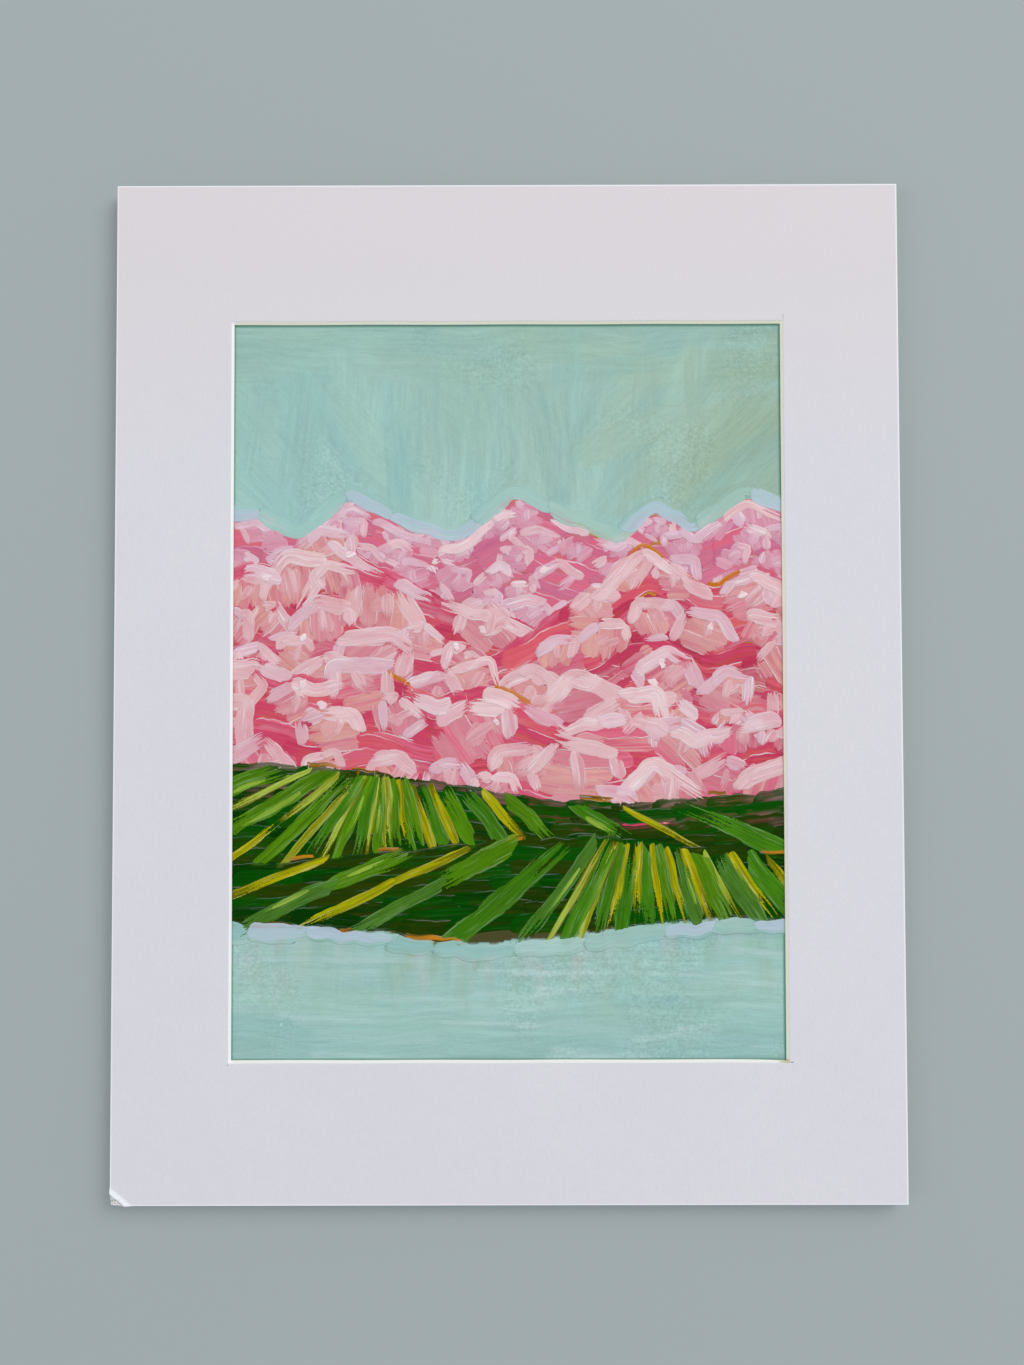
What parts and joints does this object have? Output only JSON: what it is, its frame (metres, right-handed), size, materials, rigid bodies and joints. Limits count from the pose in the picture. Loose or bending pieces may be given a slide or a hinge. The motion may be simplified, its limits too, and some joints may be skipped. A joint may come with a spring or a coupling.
{
  "type": "matted painting",
  "caption": "Small hand-painted picture on a heavy sheet in a white bevel-cut window mat with a foam-centred backing board, lying flat face up.",
  "frame": {"origin": "on the surface that the backing board rests on, under the middle of the board", "axes": "+Z out of the picture's face, +Y towards the picture's top edge, +X towards its right-hand edge"},
  "size_m": [0.216, 0.2794, 0.0055],
  "materials": {
    "mat_board": "matte, faint paper tooth, cream core at the bevel",
    "foam_board": "matte white liner paper over a white foam core",
    "sheet_paper": "matte, off-white, light tooth",
    "paint": "satin acrylic paint with brush marks, mint, pinks and greens",
    "linen_tape": "matte woven tape",
    "foam_tape": "matte white foam"
  },
  "bodies": {
    "root": {"backing_board": "foam_board", "painting_sheet": "sheet_paper", "paint_layer": "paint", "hanging_tape_left": "linen_tape", "hanging_tape_right": "linen_tape", "foam_tape_top": "foam_tape", "foam_tape_bottom": "foam_tape", "foam_tape_left": "foam_tape", "foam_tape_right": "foam_tape", "window_mat": "mat_board"}
  },
  "joints": []
}
